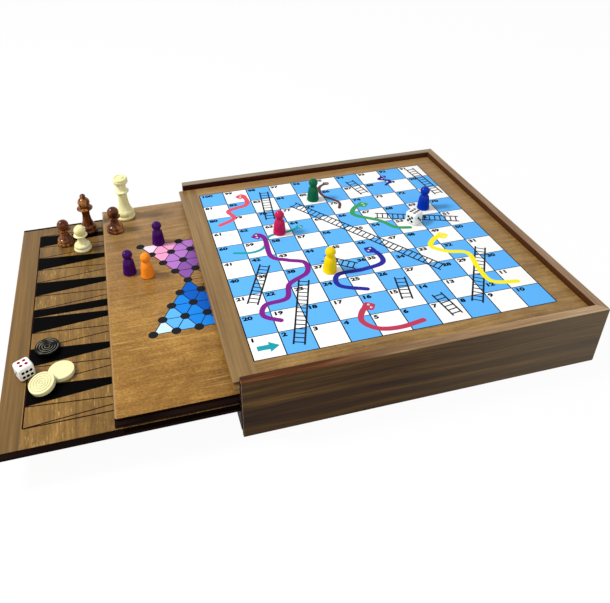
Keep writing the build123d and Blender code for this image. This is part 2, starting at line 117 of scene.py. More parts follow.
class Finish:
    """A material in the making, or the world's own nodes."""

    def __init__(self, name, world=None):
        self.material = world or bpy.data.materials.new(name)
        self.material.use_nodes = True
        self.tree = self.material.node_tree
        self.tree.nodes.clear()
        self.place = self.node("TexCoord").other("Object")

    def node(self, kind, settings={}, sockets={}):
        """Adds a shader node: its settings first, then the values or links of its sockets.
        A text is a colour code."""
        made = self.tree.nodes.new("ShaderNode" + kind)
        for name, value in settings.items():
            if name == "stops":
                ramp = made.color_ramp.elements
                while len(ramp) < len(value):
                    ramp.new(1)
                for stop, (at, code) in zip(ramp, value):
                    stop.position = at
                    stop.color = colour(code)
            else:
                setattr(made, name, value)
        for name, value in sockets.items():
            if isinstance(value, Signal):
                self.tree.links.new(value.socket, made.inputs[name])
            else:
                made.inputs[name].default_value = colour(value) if isinstance(value, str) else value
        return Signal(self, made.outputs[0]) if made.outputs else None

    def axes(self):
        """The place on the piece as three numbers, in metres."""
        split = self.node("SeparateXYZ", {}, {0: self.place})
        return split, split.other("Y"), split.other("Z")

    def noise(self, x, y, z, detail=2, rough=0.5, twist=0):
        """Soft random grey between 0 and 1, about one patch to a unit."""
        sockets = {"Scale": 1, "Detail": detail, "Roughness": rough, "Distortion": twist}
        sockets["Vector"] = self.node("CombineXYZ", {}, {0: x, 1: y, 2: z})
        return self.node("TexNoise", {}, sockets)

    def ramp(self, value, *stops):
        """A colour for the value, from stops of (place, colour)."""
        return self.node("ValToRGB", {"stops": stops}, {0: value})

    def step(self, value, low, high):
        """0 below low, 1 above high, smooth between."""
        sockets = {0: value, 1: low, 2: high}
        return self.node("MapRange", {"interpolation_type": "SMOOTHSTEP", "clamp": True}, sockets)

    def mix(self, mask, a, b):
        """Colour a where the mask is 0 and b where it is 1."""
        return self.node("Mix", {"data_type": "RGBA"}, {0: mask, 6: a, 7: b}).other(2)

    def bump(self, height, distance, strength):
        """A normal that follows fine relief."""
        return self.node("Bump", {}, {"Height": height, "Distance": distance, "Strength": strength})

    def surface(self, **sockets):
        """Ends the material in one Principled shader. Keywords have _ for the spaces in names."""
        named = {name.replace("_", " "): value for name, value in sockets.items()}
        shader = self.node("BsdfPrincipled", {}, named)
        self.node("OutputMaterial", {}, {0: shader})
        return self.material


def arris(finish, radius):
    """1 on a piece's edges, 0 on its faces, with a broken line between."""
    rounded = finish.node("Bevel", {"samples": 6}, {"Radius": radius})
    true = finish.node("NewGeometry").other("Normal")
    dot = finish.node("VectorMath", {"operation": "DOT_PRODUCT"}, {0: rounded, 1: true})
    x, y, z = finish.axes()
    broken = finish.noise(x * 300, y * 300, z * 300, detail=3)
    return finish.step((1 - dot.other("Value")) * 4 + (broken - 0.5) * 0.5, 0.12, 0.5)


inner_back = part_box("left_wall")[1].y
inner_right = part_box("long_divider")[1].x
wall_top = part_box("front_wall")[1].z
crown = 0.7 * MM             # the top face begins this far under the wall's highest point
slack = 0.1 * MM             # for telling a face from the one beside it
pale_arris_width = 0.8 * MM            # how far in from an arris the pale band reaches: worn lacquer and painted highlight


def walnut(name, along_x, crest, gloss=0.1, inside_from=-1):
    """Dark streaky veneer outside, greyer to the right, red-brown stain inside, and a lacquered top
    in the three tones of crest, which turns darker and redder at the front left."""
    finish = Finish(name)
    x, y, z = finish.axes()
    along, across = (x, y) if along_x else (y, x)
    wander = finish.noise(along * 7, across * 9, z * 12, detail=1)
    height = z + (wander - 0.5) * 0.012
    streak = finish.noise(along * 5, across * 130, height * 130, detail=4, rough=0.62)
    fine = finish.noise(along * 22, across * 900, height * 900, detail=3, rough=0.6)
    band = finish.noise(along * 3, across * 40, height * 55, detail=2)
    tone = streak * 0.52 + band * 0.28 + fine * 0.28 - 0.04
    veneer = finish.ramp(tone, (0.36, "#1e1006"), (0.48, "#39240d"), (0.58, "#503818"), (0.7, "#745729"))
    # The veneer turns greyer towards the right.
    greyer_right = finish.step(x, -0.06, 0.15) * 0.4
    veneer = finish.mix(greyer_right, veneer, finish.mix(tone, "#574a3a", "#8e806a"))
    inside = finish.ramp(tone, (0.38, "#220608"), (0.5, "#3b1109"), (0.64, "#5c3114"))
    browner = finish.mix(tone, "#331a0b", "#6e4722")
    inside = finish.mix(finish.step(x, -0.08, 0.12) * 0.6, inside, browner)
    top = finish.ramp(tone, *zip((0.36, 0.5, 0.64), crest))
    # The top turns darker and redder towards the front left.
    reddish = finish.step(0 - x, -0.06, 0.1) * (y < 0)
    darker_red_top = finish.ramp(tone, (0.4, "#260900"), (0.52, "#4c1f00"), (0.66, "#9a6216"))
    top = finish.mix(reddish * 0.95, top, darker_red_top)
    is_inside = (abs(y) < inner_back + slack) * (x < inner_right + slack) * (x > inside_from)
    skin = finish.mix(is_inside, veneer, inside)
    skin = finish.mix(z > wall_top - crown, skin, top)
    # Pale arrises towards the open left end: partly lacquer rubbed through to pale wood, partly painted
    # highlight.
    wear_and_highlight = arris(finish, pale_arris_width) * finish.step(0 - x, 0.02, 0.13)
    skin = finish.mix(wear_and_highlight * 0.5, skin, "#c3a47a")
    return finish.surface(
        Base_Color=skin,
        Roughness=0.4 + fine * 0.2,
        Specular_IOR_Level=gloss,
        Normal=finish.bump(fine * 0.6 + streak * 0.4, 0.12 * MM, 0.6),
    )


def dress(node, material):
    """Gives a CAD node its finish."""
    nodes[node].data.materials.clear()
    nodes[node].data.materials.append(material)


cross_tones = ("#6b513a", "#8e7258", "#b09578")
dress("front_wall", walnut("front_walnut", True, ("#80623f", "#a88a68", "#cab290")))
dress("back_wall", walnut("back_walnut", True, ("#695c4c", "#8a7c69", "#a39582")))
dress("right_wall", walnut("right_walnut", False, cross_tones))
dress("left_wall", walnut("left_walnut", False, cross_tones, 0.02, inside_from=-inner_right - slack))

# The open ends of the front and back walls are dull end grain, which drinks the stain, and are darkened
# further with painted shade.
end_grain = Finish("walnut_end_grain")
x, y, z = end_grain.axes()
pores = end_grain.noise(x * 900, y * 900, z * 900, detail=3)
end_skin = end_grain.ramp(pores, (0.35, "#12090c"), (0.65, "#241519"))
# Pale arrises on the end grain: partly wear, partly painted highlight.
end_skin = end_grain.mix(arris(end_grain, pale_arris_width) * 0.8, end_skin, "#c3ad8c")
end_grain.surface(Base_Color=end_skin, Roughness=0.85 + pores * 0.1, Specular_IOR_Level=0.05)
for wall in ("front_wall", "back_wall"):
    mesh = nodes[wall].data
    mesh.materials.append(end_grain.material)
    for face in mesh.polygons:
        if face.normal.x < -0.9:
            face.material_index = 1

# ============================================================================== the storage floor
# A thin ply base let into the walls, and three loose-fitting strips on it that part the pieces.
# Nobody sees them in play, so they are sanded and left bare.


def bare_ply(name, along_x, dark, light):
    """Unfinished rotary-cut ply: broad pale figure and short pores."""
    finish = Finish(name)
    x, y, z = finish.axes()
    along, across = (x, y) if along_x else (y, x)
    figure = finish.noise(along * 6, across * 45, z * 45, detail=3, twist=0.6)
    pores = finish.noise(along * 60, across * 1400, z * 1400, detail=2)
    tone = figure * 0.7 + pores * 0.3
    skin = finish.ramp(tone, (0.35, dark), (0.65, light))
    return finish.surface(
        Base_Color=skin,
        Roughness=0.72 + pores * 0.1,
        Normal=finish.bump(pores, 0.1 * MM, 0.5),
    )


dress("base_panel", bare_ply("base_ply", True, "#a9814f", "#cda877"))
dress("long_divider", bare_ply("divider_long_ply", True, "#8f6a3d", "#b8905c"))
short_ply = bare_ply("divider_short_ply", False, "#8f6a3d", "#b8905c")
dress("front_divider", short_ply)
dress("back_divider", short_ply)

# ================================================================================ the three boards
# Veneered ply panels stained honey brown and varnished. The grain runs from left to right on the
# upper two and from front to back on the lowest, with short light flecks, and a straight-grained
# band lies along each pulling edge.
lip_height = 0.4 * MM        # a board's edges begin this far under its top


def board_wood(name, node, along_x, tones, band_width, band_tones, far_tones, fleck, mottle=0.0):
    """Varnished veneer with its grain along X or Y, a straight-grained band at the left end and a
    duller tone towards the back. mottle trades streaks for a fine speckle with light rays."""
    low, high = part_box(node)
    finish = Finish(name)
    x, y, z = finish.axes()
    along, across = (x, y) if along_x else (y, x)
    sway = finish.noise(along * 9, across * 14, z, detail=2)
    width = across + (sway - 0.5) * 0.012
    grain = finish.noise(along * 12, width * 230, z * 60, detail=4, rough=0.6)
    fine = finish.noise(along * 60, width * 1300, z * 300, detail=2)
    cloud = finish.noise(x * 26, y * 26, z * 10, detail=3, rough=0.6, twist=0.8)
    speckle = finish.noise(along * 420, across * 700, z * 300, detail=3, rough=0.7)
    tone = grain * (0.42 - mottle) + cloud * 0.3 + fine * 0.14 + speckle * (0.22 + mottle) - 0.04
    skin = finish.ramp(tone, *zip((0.36, 0.5, 0.66), tones))
    dash = finish.noise(along * 110, across * 1100, z * 50, detail=1)
    flecks = finish.step(dash, 0.6, 0.7) * finish.step(cloud, 0.4, 0.6) * fleck
    skin = finish.mix(flecks, skin, "#cfa76a")
    ray = finish.step(finish.noise(along * 16, across * 330, z, detail=1, twist=0.5), 0.62, 0.74)
    skin = finish.mix(ray * mottle * 2.4, skin, "#d2a862")
    far = finish.mix(grain, *far_tones)
    skin = finish.mix(finish.step(y, -0.08, 0.16) * 0.55, skin, far)
    straight = finish.noise(x * 420, y * 9, z * 60, detail=3)
    lipping = finish.ramp(straight, *zip((0.3, 0.7), band_tones))
    band = finish.step(low.x + band_width - x, 0, 0.6 * MM)
    skin = finish.mix(band * 0.92, skin, lipping)
    # Painted highlight: the rounded arrises of the board are lightened.
    edge = arris(finish, 0.5 * MM)
    skin = finish.mix(edge * 0.3, skin, "#c9a674")
    # Painted shade: the sides below the top lip are darkened.
    side = finish.step(high.z - lip_height - z, 0, lip_height)
    skin = finish.mix(side * 0.6, skin, "#6b4726")
    return finish.surface(
        Base_Color=skin,
        Roughness=0.26 + fine * 0.16,
        Specular_IOR_Level=0.22,
        Coat_Weight=0.08,
        Coat_Roughness=0.08,
        Normal=finish.bump(fine * 0.5 + grain * 0.5, 0.06 * MM, 0.5),
    )


dress("snakes_lid", board_wood(
    "lid_veneer",
    "snakes_lid",
    along_x=True,
    tones=("#6c4d24", "#8f6d3b", "#b38d52"),
    band_width=19 * MM,
    band_tones=("#705431", "#947748"),
    far_tones=("#74522f", "#b48e60"),
    fleck=0.2,
))
dress("checkers_board", board_wood(
    "star_veneer",
    "checkers_board",
    along_x=True,
    tones=("#684214", "#926828", "#c09246"),
    band_width=2 * MM,
    band_tones=("#8a6838", "#a88450"),
    far_tones=("#58422c", "#a88c6c"),
    fleck=0.35,
    mottle=0.16,
))
dress("backgammon_board", board_wood(
    "points_veneer",
    "backgammon_board",
    along_x=False,
    tones=("#543912", "#7c5b26", "#a17a3a"),
    band_width=17 * MM,
    band_tones=("#5a411d", "#7d5d2d"),
    far_tones=("#3e2a12", "#7a5d2c"),
    fleck=0.55,
))

# The tongued long edges of the two lower boards carry painted shade, near-black and matt.
tongue = 8 * MM              # no part of the edge lies farther in than this
painted_edge_shade = Finish("painted_edge_shade")
x, y, z = painted_edge_shade.axes()
plies = painted_edge_shade.noise(x * 20, y * 20, z * 1500, detail=1)
painted_edge_shade.surface(
    Base_Color=painted_edge_shade.ramp(plies, (0.4, "#0a0404"), (0.62, "#1d100c")),
    Roughness=0.7,
    Specular_IOR_Level=0.02,
)
for board in ("checkers_board", "backgammon_board"):
    mesh = nodes[board].data
    mesh.materials.append(painted_edge_shade.material)
    low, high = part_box(board)
    for face in mesh.polygons:
        if abs(face.center.y) > high.y - tongue and face.center.z < high.z - lip_height:
            face.material_index = 1

# =================================================================== snakes and ladders, on the lid
# Ten by ten squares screen-printed in sky blue and white straight on the varnish, then black
# numbers and rules, then the ladders and snakes in thick opaque ink on top.
square = 25 * MM
field_x = -131.6 * MM        # the near left corner of the field
field_y = -125 * MM
first_ink = 0.012 * MM       # thickness of the first colour; each later one stands this much higher
later_ink = 0.008 * MM


def ink(name, code, gloss=0.32):
    """Opaque screen ink, with the faint mottle of a hand-pulled print."""
    finish = Finish(name)
    x, y, z = finish.axes()
    mottle = finish.noise(x * 500, y * 500, z, detail=3)
    cloud = finish.noise(x * 30, y * 30, z, detail=2)
    return finish.surface(
        Base_Color=finish.mix(mottle * 0.12 + cloud * 0.1, code, colour(code, 0.8)),
        Roughness=gloss + mottle * 0.12,
        Specular_IOR_Level=0.015,
        Normal=finish.bump(mottle, 0.02 * MM, 0.3),
    )


def placed(name, data):
    """A new object in the scene."""
    made = bpy.data.objects.new(name, data)
    bpy.context.scene.collection.objects.link(made)
    return made


def film(name, faces, layer, board, material):
    """A layer of ink: flat faces given by their corners in metres, closed down to the board."""
    board_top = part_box(board)[1].z
    thickness = first_ink + layer * later_ink
    shape = bmesh.new()
    for corners in faces:
        shape.faces.new([shape.verts.new((px, py, board_top + thickness)) for px, py in corners])
    bmesh.ops.remove_doubles(shape, verts=shape.verts, dist=0.001 * MM)
    bmesh.ops.recalc_face_normals(shape, faces=shape.faces)
    below = bmesh.ops.extrude_face_region(shape, geom=shape.faces[:], use_keep_orig=True)["geom"]
    down = [v for v in below if isinstance(v, bmesh.types.BMVert)]
    bmesh.ops.translate(shape, verts=down, vec=(0, 0, -thickness))
    bmesh.ops.recalc_face_normals(shape, faces=shape.faces)
    mesh = bpy.data.meshes.new(name)
    shape.to_mesh(mesh)
    shape.free()
    mesh.materials.append(material)
    piece = placed(name, mesh)
    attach(piece, board)


def bar(a, b, width):
    """The corners of a straight line's ink between two points."""
    ax, ay = a
    bx, by = b
    length = hypot(bx - ax, by - ay)
    sx, sy = (ay - by) / length * width / 2, (bx - ax) / length * width / 2
    return [(ax + sx, ay + sy), (ax - sx, ay - sy), (bx - sx, by - sy), (bx + sx, by + sy)]


def field(column, row):
    """A place on the lid's field, in squares from its near left corner."""
    return field_x + column * square, field_y + row * square


def field_square(column, row):
    """The corners of one square of the field."""
    return [field(column + right, row + up) for right, up in ((0, 0), (1, 0), (1, 1), (0, 1))]


cells = [(column, row) for column in range(10) for row in range(10)]
for name, odd, code in (("squares_white", 0, "#fdfdfb"), ("squares_blue", 1, "#62b6fb")):
    faces = [field_square(*cell) for cell in cells if sum(cell) % 2 == odd]
    film(name, faces, 0, "snakes_lid", ink(name + "_ink", code))

rule = 0.7 * MM
upright_rule = 0.91 * MM
rules = [bar(field(line, 0), field(line, 10), upright_rule) for line in range(11)]
rules += [bar(field(0, line), field(10, line), rule) for line in range(11)]
black_ink = ink("black_ink", "#090a0d", 0.3)
for number, faces in enumerate((rules[:11], rules[11:])):
    film(f"field_rules_{number + 1}", faces, 1 + number, "snakes_lid", black_ink)


number_size = 5.6 * MM
number_stretch = 1.4         # the numerals are this much wider than usual
number_weight = 0.32 * MM    # and this much fatter on each side
number_across, number_up = 0.07, 0.78      # a number's lower left corner in its square


def number_mesh(text, place):
    """One printed number, wide and heavy, from its lower left corner."""
    letters = bpy.data.curves.new("number", "FONT")
    letters.body = text
    letters.size = number_size
    letters.offset = number_weight
    letters.resolution_u = 3
    drawn = placed("number", letters)
    flat = bpy.data.meshes.new_from_object(drawn.evaluated_get(bpy.context.evaluated_depsgraph_get()))
    bpy.data.objects.remove(drawn)
    flat.transform(Matrix.Translation((*place, 0)) @ Matrix.Diagonal((number_stretch, 1, 1, 1)))
    corners = [vertex.co.xy.to_tuple() for vertex in flat.vertices]
    faces = [[corners[index] for index in face.vertices] for face in flat.polygons]
    bpy.data.meshes.remove(flat)
    return faces


# A number that a ladder or a snake would hide stands aside, by so much right and down in squares.
aside = {
    12: (0.2, 0.5),
    15: (-0.05, 0),
    18: (0.14, 0),
    28: (0.37, 0.08),
    30: (0.14, 0),
    34: (0.02, 0.2),
    36: (0.61, 0.02),
    47: (0.24, 0),
    55: (0.3, 0.04),
}
number_faces = []
for number in range(100):
    row, step = divmod(number, 10)
    column = step if row % 2 == 0 else 9 - step
    right, down = aside.get(number + 1, (0, 0))
    corner = field(column + number_across + right, row + number_up - down)
    number_faces += number_mesh(str(number + 1), corner)
film("field_numbers", number_faces, 3, "snakes_lid", black_ink)

# Ladders: two rails and evenly spaced rungs. Each is (foot, head) in squares.
ladders = [
    ((2.42, 7.36), (2.69, 9.57)),
    ((6.76, 8.25), (6.49, 9.46)),
    ((9.71, 7.38), (9.49, 9.78)),
    ((7.4, 2.64), (3.58, 8.24)),
    ((9.49, 5.37), (6.46, 6.5)),
    ((0.54, 2.49), (1.46, 4.49)),
    ((1.46, 0.32), (2.53, 3.29)),
    ((7.56, 0.66), (9.28, 3.41)),
    ((5.47, 1.4), (5.71, 2.55)),
    ((6.67, 0.29), (6.49, 1.4)),
    ((4.55, 3.55), (3.55, 4.3)),
]
ladder_width = 0.34 * square
rail = 1.5 * MM
rung = 1.15 * MM
rung_pitch = 0.2 * square
slate_ink = ink("slate_ink", "#22262d", 0.3)
rails, rungs = [], []
for foot, head in ladders:
    foot, head = Vector(field(*foot)), Vector(field(*head))
    run = head - foot
    side = Vector((-run.y, run.x)).normalized() * ladder_width / 2
    rails += [bar(foot + side, head + side, rail), bar(foot - side, head - side, rail)]
    count = round(run.length / rung_pitch)
    for place in range(count):
        middle = foot + run * (place + 0.5) / count
        rungs.append(bar(middle + side, middle - side, rung))
film("ladder_rails", rails, 5, "snakes_lid", slate_ink)
film("ladder_rungs", rungs, 4, "snakes_lid", slate_ink)


def smooth_path(points, per_span=20):
    """A rounded line through the given points."""
    points = [2 * points[0] - points[1], *points, 2 * points[-1] - points[-2]]
    path = []
    for a, b, c, d in zip(points, points[1:], points[2:], points[3:]):
        for share in range(per_span):
            t = share / per_span
            bend = (2 * a - 5 * b + 4 * c - d) * t**2 + (3 * b - a - 3 * c + d) * t**3
            path.append(0.5 * (2 * b + (c - a) * t + bend))
    return path + [points[-2]]


def snake_faces(path, width, head_length):
    """A band with a pointed, wide-jawed head at the start and a rounded tail."""
    travelled = [0]
    for a, b in zip(path, path[1:]):
        travelled.append(travelled[-1] + (b - a).length)
    total = travelled[-1]
    left, right = [], []
    for place, point in enumerate(path):
        ahead = path[min(place + 1, len(path) - 1)] - path[max(place - 1, 0)]
        side = Vector((-ahead.y, ahead.x)).normalized()
        at = travelled[place]
        if at < head_length:
            share = at / head_length
            jaw = 1 - abs(share - 0.5) / 0.5
            half = width * (0.06 + 1.05 * jaw**0.8 + max(0, share - 0.5) * 0.86)
        else:
            half = width * (0.5 - 0.05 * at / total)
        rest = total - at
        if rest < half:
            half = sqrt(max(half**2 - (half - rest) ** 2, (0.05 * half) ** 2))
        left.append(point + side * half)
        right.append(point - side * half)
    return [
        [tuple(left[i]), tuple(right[i]), tuple(right[i + 1]), tuple(left[i + 1])]
        for i in range(len(path) - 1)
    ]


# Snakes: (name, ink colour, width, middle line from head to tail in squares).
broad = 5.0 * MM
slim = 3.4 * MM
snakes = [
    ("rose_red", "#e0566b", broad, (
        (1.45, 9.5), (1.8, 9.35), (1.75, 8.75), (0.95, 8.45), (1.05, 7.85), (0.34, 7.44),
    )),
    ("brown", "#5d4140", slim, (
        (5.6, 9.6), (5.1, 9.3), (5.0, 8.6), (5.45, 7.9), (5.3, 7.38),
    )),
    ("small_indigo", "#2b2a8c", slim, (
        (8.2, 9.45), (7.8, 9.25), (8.2, 9.0), (7.85, 8.65),
    )),
    ("green", "#3f9f63", broad, (
        (6.55, 7.45), (6.0, 7.35), (5.7, 6.8), (6.5, 6.1), (6.9, 5.5), (7.5, 5.3),
    )),
    ("teal", "#22a0ad", slim, (
        (3.5, 6.6), (2.9, 6.35), (2.05, 6.2), (1.7, 5.55), (1.2, 5.35), (0.5, 5.5),
    )),
    ("purple", "#82278d", broad, (
        (1.4, 6.35), (1.85, 6.2), (1.8, 4.95), (2.3, 4.55), (2.85, 4.25), (2.75, 3.65), (2.0, 3.2),
        (1.7, 2.5), (0.95, 2.35), (0.75, 1.85), (1.3, 1.45),
    )),
    ("indigo", "#312e9b", broad, (
        (5.2, 4.5), (5.55, 4.1), (5.5, 3.5), (4.7, 3.3), (3.75, 3.25), (3.6, 2.65), (4.5, 2.2),
    )),
    ("yellow", "#fbf02b", broad, (
        (8.55, 4.5), (8.0, 4.4), (7.6, 3.95), (8.0, 3.5), (8.65, 3.2), (8.55, 2.3), (8.6, 1.5),
        (9.5, 1.25),
    )),
    ("rose_pink", "#c0405e", broad, (
        (4.35, 1.45), (3.9, 1.3), (3.65, 0.8), (4.0, 0.35), (4.7, 0.22), (5.6, 0.35),
    )),
]
head_length = 10.5 * MM
eye = 1.0 * MM
pupil = 0.42 * MM
pupil_ahead = 0.2 * MM
eye_spread = 1.9 * MM
eye_back = 5.0 * MM
neck_point = 8               # the path's point that tells which way a head looks
eyes, pupils = [], []


def circle(radius, count):
    """Points evenly round a circle about the middle."""
    angles = [2 * pi * turn / count for turn in range(count)]
    return [(radius * cos(angle), radius * sin(angle)) for angle in angles]


def disc(centre, radius, count=20):
    """The corners of a round spot of ink."""
    return [(centre[0] + right, centre[1] + up) for right, up in circle(radius, count)]


for name, code, width, line in snakes:
    path = smooth_path([Vector(field(*place)) for place in line])
    size = width / broad
    faces = snake_faces(path, width, head_length * size)
    layer = 6 if name == "teal" else 7         # the teal one passes under the purple one
    film(f"snake_{name}", faces, layer, "snakes_lid", ink(name, code))
    ahead = (path[neck_point] - path[0]).normalized()
    side = Vector((-ahead.y, ahead.x))
    for sign in (1, -1):
        centre = path[0] + (ahead * eye_back + side * sign * eye_spread) * size
        eyes.append(disc(centre, eye * size))
        pupils.append(disc(centre - ahead * pupil_ahead * size, pupil * size, 12))
film("snake_eyes", eyes, 8, "snakes_lid", ink("eye_ink", "#fbfaf5"))
film("snake_pupils", pupils, 9, "snakes_lid", black_ink)

# The starting arrow in the first square.
arrow_ink = ink("arrow_ink", "#22a0ad")
arrow = [
    [field(0.2, 0.36), field(0.58, 0.36), field(0.58, 0.56), field(0.2, 0.56)],
    [field(0.58, 0.24), field(0.9, 0.46), field(0.58, 0.68)],
]
film("start_arrow", arrow, 4, "snakes_lid", arrow_ink)

# ================================================================== six-pointed star, second board
# The star is printed straight on the veneer: triangles of colour from pale at each tip to deep
# at the middle, joined by thin rules, with a charcoal dot at every meeting of the rules.
pitch = 18.45 * MM
dot_radius = 4.0 * MM
star_rule = 0.8 * MM
low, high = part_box("checkers_board")
star_x, star_y = (low.x + high.x) / 2, (low.y + high.y) / 2
rise = pitch * sqrt(3) / 2


def lattice(heading, out, across):
    """A point on the star: rows out from the middle along an arm, and half pitches across it."""
    h = radians(heading)
    forward, sideways = out * rise, across * pitch / 2
    return (
        star_x + forward * cos(h) - sideways * sin(h),
        star_y + forward * sin(h) + sideways * cos(h),
    )


arms = [
    ("pink", 150, ("#fbdce9", "#f5a3c9", "#b579c9", "#8d5aa8")),
    ("blue", 210, ("#cde8fd", "#62b6fb", "#2287e6", "#1560c4")),
    ("green", 90, ("#d5f2d3", "#8fd28c", "#46a854", "#1f7f3a")),
    ("yellow", 270, ("#fff6bf", "#ffe56a", "#fbc52b", "#e89a12")),
    ("orange", 30, ("#ffe3c7", "#ffb877", "#f78a35", "#d9601a")),
    ("red", 330, ("#ffd3cf", "#f58e88", "#dd4a4a", "#b32230")),
]
for arm, heading, tones in arms:
    for row, tone in enumerate(tones):
        # Rows are counted from the tip: row 0 is one triangle, row 1 is three, and so on.
        outer, inner = 8 - row, 7 - row
        faces = []
        for place in range(row + 1):
            middle = 2 * place - row
            faces.append([
                lattice(heading, outer, middle),
                lattice(heading, inner, middle - 1),
                lattice(heading, inner, middle + 1),
            ])
        for place in range(row):
            middle = 2 * place - row + 1
            faces.append([
                lattice(heading, inner, middle),
                lattice(heading, outer, middle + 1),
                lattice(heading, outer, middle - 1),
            ])
        film(f"star_{arm}_{row + 1}", faces, 0, "checkers_board", ink(f"{arm}_{row + 1}_ink", tone))

# Every hole of the star is three steps that add up to nothing, with all of them at most four one
# way or the other. Two holes a single step apart are joined by a rule.
star_side = 4
spread = range(-2 * star_side, 2 * star_side + 1)
holes = [
    (a, b, -a - b)
    for a in spread
    for b in spread
    if max(a, b, -a - b) <= star_side or min(a, b, -a - b) >= -star_side
]


def hole_place(steps):
    """Where a hole lies on the board."""
    unit = pitch / sqrt(3)
    headings = [radians(90 + 120 * turn) for turn in range(3)]
    return (
        star_x + unit * sum(step * cos(h) for step, h in zip(steps, headings)),
        star_y + unit * sum(step * sin(h) for step, h in zip(steps, headings)),
    )


joins = []
for a, b, c in holes:
    for neighbour in ((a + 1, b - 1, c), (a, b + 1, c - 1), (a + 1, b, c - 1)):
        if neighbour in holes:
            joins.append(bar(hole_place((a, b, c)), hole_place(neighbour), star_rule))
charcoal_ink = ink("charcoal_ink", "#212328", 0.3)
film("star_rules", joins, 1, "checkers_board", charcoal_ink)
dots = [disc(hole_place(steps), dot_radius, count=40) for steps in holes]
film("star_dots", dots, 2, "checkers_board", charcoal_ink)

# =============================================================== backgammon field, lowest board
# Twelve points stand on each short side, filled and outlined by turns, with a solid bar between
# the two halves and a thin frame round the whole. One dark ink prints all of it.
point_base = 20 * MM
point_length = 100 * MM
bar_width = 10 * MM
frame_rule = 1.1 * MM
thin_rule = 0.95 * MM
points_margin = 17.9 * MM
points_field = 253 * MM
points_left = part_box("backgammon_board")[0].x + points_margin
points_right = points_left + points_field
half_field = 6 * point_base + bar_width / 2
points_y = 1.7 * MM          # the middle of the field lies this far behind the board's
back_line = points_y + half_field
front_line = points_y - half_field

solid_points, outlines = [], []
for number in range(12):
    top = back_line - number * point_base - (bar_width if number >= 6 else 0)
    middle, bottom = top - point_base / 2, top - point_base
    for base, apex, filled_first in (
        (points_left, points_left + point_length, True),
        (points_right, points_right - point_length, False),
    ):
        corners = [(base, bottom), (base, top), (apex, middle)]
        if (number % 2 == 0) == filled_first:
            solid_points.append(corners)
        else:
            outlines.append(bar(corners[0], corners[2], thin_rule))
            outlines.append(bar(corners[1], corners[2], thin_rule))
corners = [
    (points_left, front_line),
    (points_right, front_line),
    (points_right, back_line),
    (points_left, back_line),
]
outlines += [bar(a, b, frame_rule) for a, b in zip(corners, corners[1:] + corners[:1])]
points_ink = ink("points_ink", "#040303", 0.3)
line_ink = ink("points_line_ink", "#24140f", 0.3)
film("points_solid", solid_points, 0, "backgammon_board", points_ink)
middle_bar = [[
    (points_left, points_y - bar_width / 2),
    (points_right, points_y - bar_width / 2),
    (points_right, points_y + bar_width / 2),
    (points_left, points_y + bar_width / 2),
]]
film("points_bar", middle_bar, 1, "backgammon_board", points_ink)
film("points_lines", outlines, 2, "backgammon_board", line_ink)

# ================================================================================ plastic pawns
# Bell-bottomed pawns with a ball for a head, injection moulded in glossy plastic. A faint
# parting line runs up both sides, where the two halves of the mould met.
turned_crease = 38           # degrees: a turned surface shows an edge where it bends by more


def arc_points(start, through, end, count=9):
    """Points along the arc from start through a middle point, without its start. count is for a
    quarter of a turn."""
    (ax, ay), (bx, by), (cx, cy) = start, through, end
    d = 2 * (ax * (by - cy) + bx * (cy - ay) + cx * (ay - by))
    a2, b2, c2 = ax * ax + ay * ay, bx * bx + by * by, cx * cx + cy * cy
    ux = (a2 * (by - cy) + b2 * (cy - ay) + c2 * (ay - by)) / d
    uy = (a2 * (cx - bx) + b2 * (ax - cx) + c2 * (bx - ax)) / d
    first, middle, last = (atan2(py - uy, px - ux) for px, py in (start, through, end))
    turn = (last - first) % (2 * pi)
    if (middle - first) % (2 * pi) > turn:
        turn -= 2 * pi
    radius = hypot(ax - ux, ay - uy)
    steps = max(3, ceil(abs(turn) / (pi / 2) * count))
    return [
        (ux + radius * cos(first + turn * step / steps), uy + radius * sin(first + turn * step / steps))
        for step in range(1, steps + 1)
    ]


def turned(name, outline, sides=80):
    """A mesh turned about Z from an outline in millimetres, from the foot's rim to the top.
    A pair is a straight step, and four numbers are an arc through a point to another."""
    profile = [(0.0, 0.0), tuple(outline[0])]
    for step in outline[1:]:
        if len(step) == 2:
            profile.append(tuple(step))
        else:
            profile += arc_points(profile[-1], step[:2], step[2:])
    shape = bmesh.new()
    rings = []
    for r, h in profile:
        if r < 1e-6:
            rings.append([shape.verts.new((0, 0, h * MM))])
        else:
            rings.append([shape.verts.new((right, up, h * MM)) for right, up in circle(r * MM, sides)])
    for lower, upper in zip(rings, rings[1:]):
        for s in range(sides):
            t = (s + 1) % sides
            corners = [lower[s % len(lower)], lower[t % len(lower)]]
            corners += [upper[t % len(upper)], upper[s % len(upper)]]
            corners = list(dict.fromkeys(corners))
            if len(corners) > 2:
                shape.faces.new(corners)
    bmesh.ops.recalc_face_normals(shape, faces=shape.faces)
    mesh = bpy.data.meshes.new(name)
    shape.to_mesh(mesh)
    shape.free()
    for face in mesh.polygons:
        face.use_smooth = True
    mesh.set_sharp_from_angle(angle=radians(turned_crease))
    return mesh


def place_on(node, mesh, material, turn=0.0):
    """Stands a mesh where a CAD node stands, in its stead."""
    low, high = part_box(node)
    piece = placed(f"{node}_shape", mesh.copy())
    piece.location = ((low.x + high.x) / 2, (low.y + high.y) / 2, low.z)
    piece.rotation_euler = (0, 0, radians(turn))
    piece.data.materials.clear()
    piece.data.materials.append(material)
    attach(piece, node)
    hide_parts(node)
    return piece


